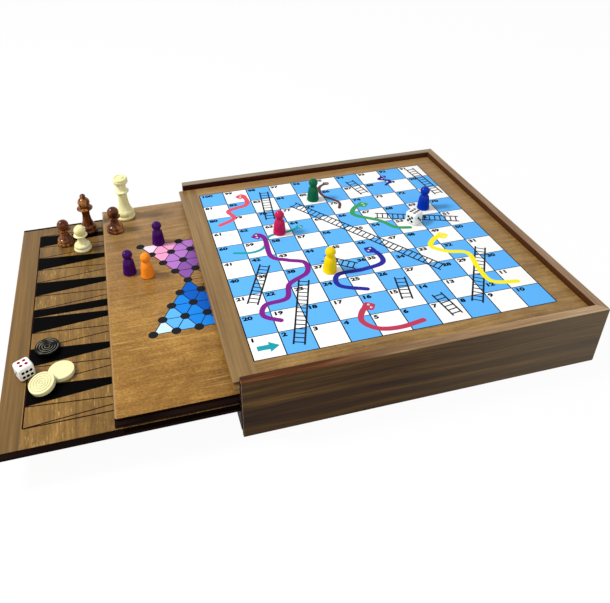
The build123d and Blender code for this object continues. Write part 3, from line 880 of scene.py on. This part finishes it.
def moulded(name, code, seam=True, shade_and_ripple_share=0.7, gloss=0.05):
    """Glossy moulded plastic with painted shade in its hollows, darker sink ripples and a parting line.
    """
    finish = Finish(name)
    x, y, z = finish.axes()
    ripple = finish.noise(x * 130, y * 130, z * 130, detail=2)
    speck = finish.noise(x * 2600, y * 2600, z * 2600, detail=1)
    shade_and_ripple_tone = colour(code, shade_and_ripple_share)
    # Painted shade: hollows found by ambient occlusion take the darker tone.
    hollow = finish.node("AmbientOcclusion", {"samples": 4}, {"Distance": 3 * MM}).other("AO")
    skin = finish.mix(finish.step(hollow, 0.35, 0.95), shade_and_ripple_tone, code)
    skin = finish.mix(ripple * 0.12, skin, shade_and_ripple_tone)
    height = ripple * 0.7
    if seam:
        height = height + (1 - finish.step(abs(x), 0.02 * MM, 0.12 * MM)) * 0.2
    return finish.surface(
        Base_Color=skin,
        Roughness=0.12 + speck * 0.06,
        Specular_IOR_Level=gloss,
        Coat_Weight=0.12,
        Coat_Roughness=0.05,
        Normal=finish.bump(height, 0.03 * MM, 0.5),
    )


def ball(radius, top, neck):
    """A ball on a neck, as two steps of an outline."""
    middle = top - radius
    return [(neck, middle - sqrt(radius**2 - neck**2)), (radius, middle, 0, top)]


pawn_low, pawn_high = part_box("pawn_red")
pawn_base = (pawn_high.x - pawn_low.x) / 2 / MM
pawn_height = (pawn_high.z - pawn_low.z) / MM
pawn_shoulder = 4.5
pawn_head = ball(radius=4.6, top=pawn_height, neck=2.9)
pawn_neck = pawn_head[0][1]
pawn = turned("pawn", [
    (pawn_base - 0.4, 0),
    (pawn_base, 0.7, pawn_base - 0.1, 1.5),
    (pawn_base - 0.5, (pawn_neck - 2.4) / 2, pawn_shoulder, pawn_neck - 2.4),
    (pawn_shoulder - 1.1, pawn_neck - 1.1, *pawn_head[0]),
    pawn_head[1],
])
plastics = {
    "yellow": "#f8d400",
    "red": "#c41c50",
    "green": "#0a623c",
    "blue": "#0030a8",
    "orange": "#ff9024",
    "purple": "#3a0458",
}
for tint, code in plastics.items():
    plastic = moulded(f"{tint}_plastic", code)
    standing = sorted(node for node in nodes if node.startswith(f"pawn_{tint}"))
    for number, node in enumerate(standing):
        place_on(node, pawn, plastic, turn=35 + 50 * number)
    dress(f"pawns_{tint}_stored", moulded(f"{tint}_plastic_stored", code, seam=False))

# ================================================================================= chess pieces
# Turned in a close-grained wood, one side stained deep red-brown and the other left pale, both
# sprayed with gloss lacquer, with painted shade in the coves.


def lacquered(name, dark, mid, light, cove_shade):
    """Turned wood under gloss: grain along the axis, fine tool rings, and painted shade in the coves."""
    finish = Finish(name)
    x, y, z = finish.axes()
    grain = finish.noise(x * 320, y * 320, z * 30, detail=3, rough=0.5, twist=0.3)
    cloud = finish.noise(x * 90, y * 90, z * 60, detail=2)
    tool = finish.noise(x * 3, y * 3, z * 1800, detail=1)
    tone = grain * 0.35 + cloud * 0.35 + 0.15
    skin = finish.ramp(tone, (0.41, dark), (0.5, mid), (0.58, light))
    # Painted shade: hollows found by ambient occlusion darken towards the cove colour.
    hollow = finish.node("AmbientOcclusion", {"samples": 4}, {"Distance": 2.5 * MM}).other("AO")
    skin = finish.mix((1 - finish.step(hollow, 0.3, 0.9)) * 0.7, skin, cove_shade)
    return finish.surface(
        Base_Color=skin,
        Roughness=0.18 + grain * 0.08,
        Specular_IOR_Level=0.1,
        Coat_Weight=0.25,
        Coat_Roughness=0.06,
        Normal=finish.bump(tool * 0.4 + grain * 0.2, 0.03 * MM, 0.4),
    )


def foot(radius):
    """The rounded disc under every chess piece, with a groove above it."""
    return [(radius - 0.8, 0), (radius, 1.5, radius - 0.5, 3.0), (radius - 0.7, 3.3)]


def base_of(node):
    """Half a node's width, in millimetres."""
    low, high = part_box(node)
    return (high.x - low.x) / 2 / MM


def height_of(node):
    """A node's height, in millimetres."""
    low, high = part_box(node)
    return (high.z - low.z) / MM


base, head = base_of("chess_pawn_cream"), 5.7
top_ball = ball(head, height_of("chess_pawn_cream"), head - 1.4)
collar = top_ball[0][1] - 0.8
chess_pawn = turned("chess_pawn", foot(base) + [
    (base - 1.1, 3.6),
    (base - 0.7, 5.2, base - 2.0, 7.2),
    (base - 2.7, 7.5),
    (base - 4.4, 10.4, base - 5.2, collar - 1.7),
    (head + 0.5, collar - 0.9),
    (head + 1.0, collar - 0.3, head + 0.5, collar + 0.3),
    (head - 1.2, collar + 0.6),
    *top_ball,
])

base, head = base_of("bishop_brown"), 6.0
knob = ball(2.9, height_of("bishop_brown"), 2.6)
knob_foot = knob[0][1]
ring = knob_foot - 12.4
bishop = turned("bishop", foot(base) + [
    (base - 1.1, 3.7),
    (base - 0.6, 5.8, base - 2.0, 8.2),
    (base - 2.7, 8.6),
    (base - 4.3, 14.0, base - 4.7, ring - 1.6),
    (base - 1.6, ring - 0.5),
    (base - 0.9, ring + 0.4, base - 1.6, ring + 1.3),
    (base - 4.6, ring + 2.0),
    (head - 2.0, ring + 3.0),
    (head, knob_foot - 6.0, head - 2.2, knob_foot - 1.0),
    *knob,
])

base, drum, top = base_of("queen_cream"), 7.4, height_of("queen_cream")
ring, drum_bottom = top - 15.6, top - 8.0
queen = turned("queen", foot(base) + [
    (base - 1.1, 3.8),
    (base - 0.7, 6.4, base - 2.3, 9.6),
    (base - 2.7, 10.0),
    (base - 4.6, 17.0, base - 5.2, ring - 2.6),
    (base - 3.4, ring - 1.0),
    (base - 2.7, ring - 0.2, base - 3.2, ring + 0.7),
    (base - 4.6, ring + 1.4),
    (base - 5.1, ring + 3.4, base - 4.9, drum_bottom - 0.9),
    (drum - 0.9, drum_bottom + 1.2),
    (drum, drum_bottom + 2.4),
    (drum, top - 3.4),
    (drum - 0.5, top - 2.9),
    (drum - 0.2, top - 1.6, drum - 1.0, top - 0.5),
    (drum - 2.0, top - 0.3),
    (drum - 2.5, top - 1.0),
    (drum - 3.2, top - 0.9),
    (drum - 4.0, top),
    (0, top),
])

brown_wood = lacquered("brown_chess_wood", "#381505", "#67320f", "#b07636", "#140300")
cream_wood = lacquered("cream_chess_wood", "#e8e09e", "#f2ecb0", "#f8f4c8", "#c3b46a")
place_on("chess_pawn_brown_a", chess_pawn, brown_wood, 20)
place_on("chess_pawn_brown_b", chess_pawn, brown_wood, 140)
place_on("bishop_brown", bishop, brown_wood, 60)
place_on("chess_pawn_cream", chess_pawn, cream_wood, 10)
place_on("queen_cream", queen, cream_wood, 80)
for kind in ("king", "rooks", "knights", "bishops", "queen", "chess_pawns"):
    dress(f"{kind}_brown_stored", brown_wood)
    if kind != "queen":
        dress(f"{kind}_cream_stored", cream_wood)

# ===================================================================================== draughts
# Thin moulded discs with four rings cut into one face and the other left plain. The lips of the
# rings on the standing black one carry painted highlights.
draught_radius = base_of("draught_black")
draught_thick = height_of("draught_black")
rim, rim_bulge = 0.5, 0.15
ring_count, ring_pitch, ring_width, ring_depth = 4, 2.1, 1.15, 0.45
outline = [
    (draught_radius - rim, 0),
    (draught_radius - rim_bulge, rim_bulge, draught_radius, rim),
    (draught_radius, draught_thick - rim),
    (draught_radius - rim_bulge, draught_thick - rim_bulge, draught_radius - rim, draught_thick),
]
for number in range(1, ring_count + 1):
    middle = draught_radius - number * ring_pitch
    outline += [
        (middle + ring_width / 2, draught_thick),
        (middle, draught_thick - ring_depth, middle - ring_width / 2, draught_thick),
    ]
draught = turned("draught", outline + [(0, draught_thick)], sides=96)
black_disc = moulded("black_draught_plastic", "#060607", seam=False)
cream_disc = moulded("cream_draught_plastic", "#ece6b2", seam=False, shade_and_ripple_share=0.6)

# The standing black one has painted highlights on the lips outside its rings, here and there.
# They are found in pitches from the rim: a ring's middle is at a whole number.
ringed = Finish("black_draught_ringed")
x, y, z = ringed.axes()
squared = x * x + y * y
from_rim = (draught_radius * MM - squared.math("SQRT", squared)) * (1 / ring_pitch / MM)
within = from_rim.math("FRACT", from_rim)
lip_highlight = ringed.step(within, 0.56, 0.66) * (1 - ringed.step(within, 0.8, 0.9)) * (from_rim < ring_count)
caught = ringed.step(ringed.noise(x * 90, y * 90, z, detail=1), 0.35, 0.6)
ringed.surface(
    Base_Color=ringed.mix(lip_highlight * caught, "#060607", "#99957f"),
    Roughness=0.2,
    Specular_IOR_Level=0.05,
    Coat_Weight=0.1,
)
place_on("draught_black", draught, ringed.material)
upside_down = place_on("draught_cream_flat", draught, cream_disc)
upside_down.location.z += draught_thick * MM
upside_down.rotation_euler = (pi, 0, 0)
# The leaning draught rests its far rim on the flat one: its tilt follows from how tall it stands.
low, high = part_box("draught_cream_leaning")
rim_rise = draught_thick * 0.97           # what its thickness adds to its height when it leans
lean = asin((height_of("draught_cream_leaning") - rim_rise) / (2 * draught_radius))
heading = radians(222)
normal = Vector((cos(heading) * sin(lean), sin(heading) * sin(lean), cos(lean)))
leaning = place_on("draught_cream_leaning", draught, cream_disc)
leaning.location = (low + high) / 2 - normal * draught_thick * MM / 2
leaning.rotation_euler = normal.to_track_quat("Z", "Y").to_euler()
dress("draughts_black_stored", black_disc)
dress("draughts_cream_stored", cream_disc)

# ========================================================================================= dice
# Tumbled cubes of white plastic with drilled and painted pips, black but for the red fours and
# ones. Opposite faces add up to seven.
low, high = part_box("die_a")
die_size = high.z - low.z
die_round = 2.4 * MM
pip_radius = 1.45 * MM
pip_sink = 0.85 * MM
near, far = 2.1 * MM, 3.1 * MM             # from a face's middle to a pip, and along the sixes
square_of_pips = [(-near, -near), (-near, near), (near, -near), (near, near)]
pips = {
    1: [(0, 0)],
    2: [(-near, -near), (near, near)],
    3: [(-near, near), (0, 0), (near, -near)],
    4: square_of_pips,
    5: square_of_pips + [(0, 0)],
    6: [(-far, -near), (0, -near), (far, -near), (-far, near), (0, near), (far, near)],
}
red_numbers = (1, 4)
die_crease = 30              # degrees
die_plastic = moulded("die_plastic", "#f4f3ee", seam=False, shade_and_ripple_share=0.9)
black_pip = ink("pip_black", "#050507", 0.35)
red_pip = ink("pip_red", "#a3123a", 0.35)


def make_die(node, shown, turn):
    """A die standing as its CAD node does. shown is (number up, number to the front, to the right)."""
    half = die_size / 2
    shape = bmesh.new()
    bmesh.ops.create_cube(shape, size=die_size)
    arrises = shape.edges[:] + shape.verts[:]
    bmesh.ops.bevel(shape, geom=arrises, offset=die_round, segments=6, profile=0.5, affect="EDGES")
    body = bpy.data.meshes.new(f"{node}_body")
    shape.to_mesh(body)
    shape.clear()
    faces = (((0, 0, 1), (1, 0, 0)), ((0, -1, 0), (1, 0, 0)), ((1, 0, 0), (0, 1, 0)))
    for number, (normal, sideways) in zip(shown, faces):
        for count, sign in ((number, 1), (7 - number, -1)):
            out = Vector(normal) * sign
            u = Vector(sideways)
            v = out.cross(u)
            for pu, pv in pips[count]:
                centre = out * (half + pip_radius - pip_sink) + u * pu + v * pv
                made = bmesh.ops.create_uvsphere(shape, u_segments=24, v_segments=14, radius=pip_radius)
                bmesh.ops.translate(shape, verts=made["verts"], vec=centre)
                for face in {face for vert in made["verts"] for face in vert.link_faces}:
                    face.material_index = count in red_numbers
    drill = bpy.data.meshes.new(f"{node}_drill")
    shape.to_mesh(drill)
    shape.free()
    drill.materials.append(black_pip)
    drill.materials.append(red_pip)
    cutter = placed(f"{node}_cutter", drill)
    piece = place_on(node, body, die_plastic, turn)
    piece.location.z += half
    bpy.context.view_layer.update()
    cutter.matrix_world = piece.matrix_world
    cut = piece.modifiers.new("pips", "BOOLEAN")
    cut.operation = "DIFFERENCE"
    cut.solver = "EXACT"
    cut.object = cutter
    cut.material_mode = "TRANSFER"
    bpy.context.view_layer.update()
    done = bpy.data.meshes.new_from_object(piece.evaluated_get(bpy.context.evaluated_depsgraph_get()))
    piece.modifiers.clear()
    piece.data = done
    bpy.data.objects.remove(cutter)
    for face in done.polygons:
        face.use_smooth = True
    done.set_sharp_from_angle(angle=radians(die_crease))


make_die("die_a", shown=(6, 3, 2), turn=28.4)
make_die("die_b", shown=(4, 6, 5), turn=27.7)

# ========================================================================= floor, light, camera
# A white sweep in a white studio. The main light stands high on the left, a little behind the
# box, with a weaker and broader one in front.


def looked_at(finish):
    """1 for what is seen directly, in a gloss or through glass, 0 for the light it sheds."""
    seen = finish.node("LightPath")
    looked = seen.math("MAXIMUM", seen, seen.other("Is Glossy Ray"))
    return seen.math("MAXIMUM", looked, seen.other("Is Transmission Ray"))


reach = 4.0                  # metres from the middle to the floor's edge
floor_gap = 0.05 * MM
shadow_share = 0.05          # how much of the floor's own shading is seen
white = (1, 1, 1, 1)
corners = [(-reach, -reach, 0), (reach, -reach, 0), (reach, reach, 0), (-reach, reach, 0)]
floor_mesh = bpy.data.meshes.new("floor")
floor_mesh.from_pydata(corners, [], [(0, 1, 2, 3)])
floor = placed("floor", floor_mesh)
floor.location.z = cad_low.z - floor_gap
floor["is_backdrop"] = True
sweep = Finish("white_sweep")
paper = sweep.node("BsdfDiffuse", {}, {"Color": (0.98, 0.98, 0.98, 1)})
glow = sweep.node("Emission", {}, {"Color": white, "Strength": 1.0})
plain = looked_at(sweep) * (1 - shadow_share)
swept = sweep.node("MixShader", {}, {0: plain, 1: paper, 2: glow})
sweep.node("OutputMaterial", {}, {0: swept})
floor_mesh.materials.append(sweep.material)

world = bpy.data.worlds.new("studio")
bpy.context.scene.world = world
sky = Finish("studio", world)
ambient = sky.node("Background", {}, {"Color": white, "Strength": 0.5})
backdrop = sky.node("Background", {}, {"Color": white, "Strength": 1.0})
lit = sky.node("MixShader", {}, {0: looked_at(sky), 1: ambient, 2: backdrop})
sky.node("OutputWorld", {}, {0: lit})


def lamp(name, place, aim, size, power):
    """A soft square lamp turned to a point, in metres and watts."""
    light = bpy.data.lights.new(name, "AREA")
    light.size = size
    light.energy = power
    stand = placed(name, light)
    stand.location = place
    stand.rotation_euler = (Vector(aim) - Vector(place)).to_track_quat("-Z", "Y").to_euler()


lamp("key", (-1.0, 0.2, 1.05), (-0.05, 0, 0), size=0.3, power=15.5)
lamp("fill", (0.2, -1.3, 0.9), (-0.05, 0, 0.02), size=1.0, power=4)

camera_place = Vector((-197.6, -445.1, 374.0)) * MM
camera_heading = 13.37       # degrees from +Y towards +X
camera_dip = 32.05           # degrees below level
camera_roll = -1.483         # degrees
focal_length = 36.63         # millimetres
camera_data = bpy.data.cameras.new("camera")
camera_data.lens = focal_length
camera_data.sensor_width = 36
camera_data.sensor_fit = "HORIZONTAL"
camera_data.shift_x = 0.0672
camera_data.shift_y = -0.1338
camera_data.clip_start = 0.01
camera = placed("camera", camera_data)
camera.matrix_world = (
    Matrix.Translation(camera_place)
    @ Matrix.Rotation(radians(-camera_heading), 4, "Z")
    @ Matrix.Rotation(radians(90 - camera_dip), 4, "X")
    @ Matrix.Rotation(radians(camera_roll), 4, "Z")
)
bpy.context.scene.camera = camera
bpy.context.scene.view_settings.view_transform = "Standard"

low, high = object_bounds()
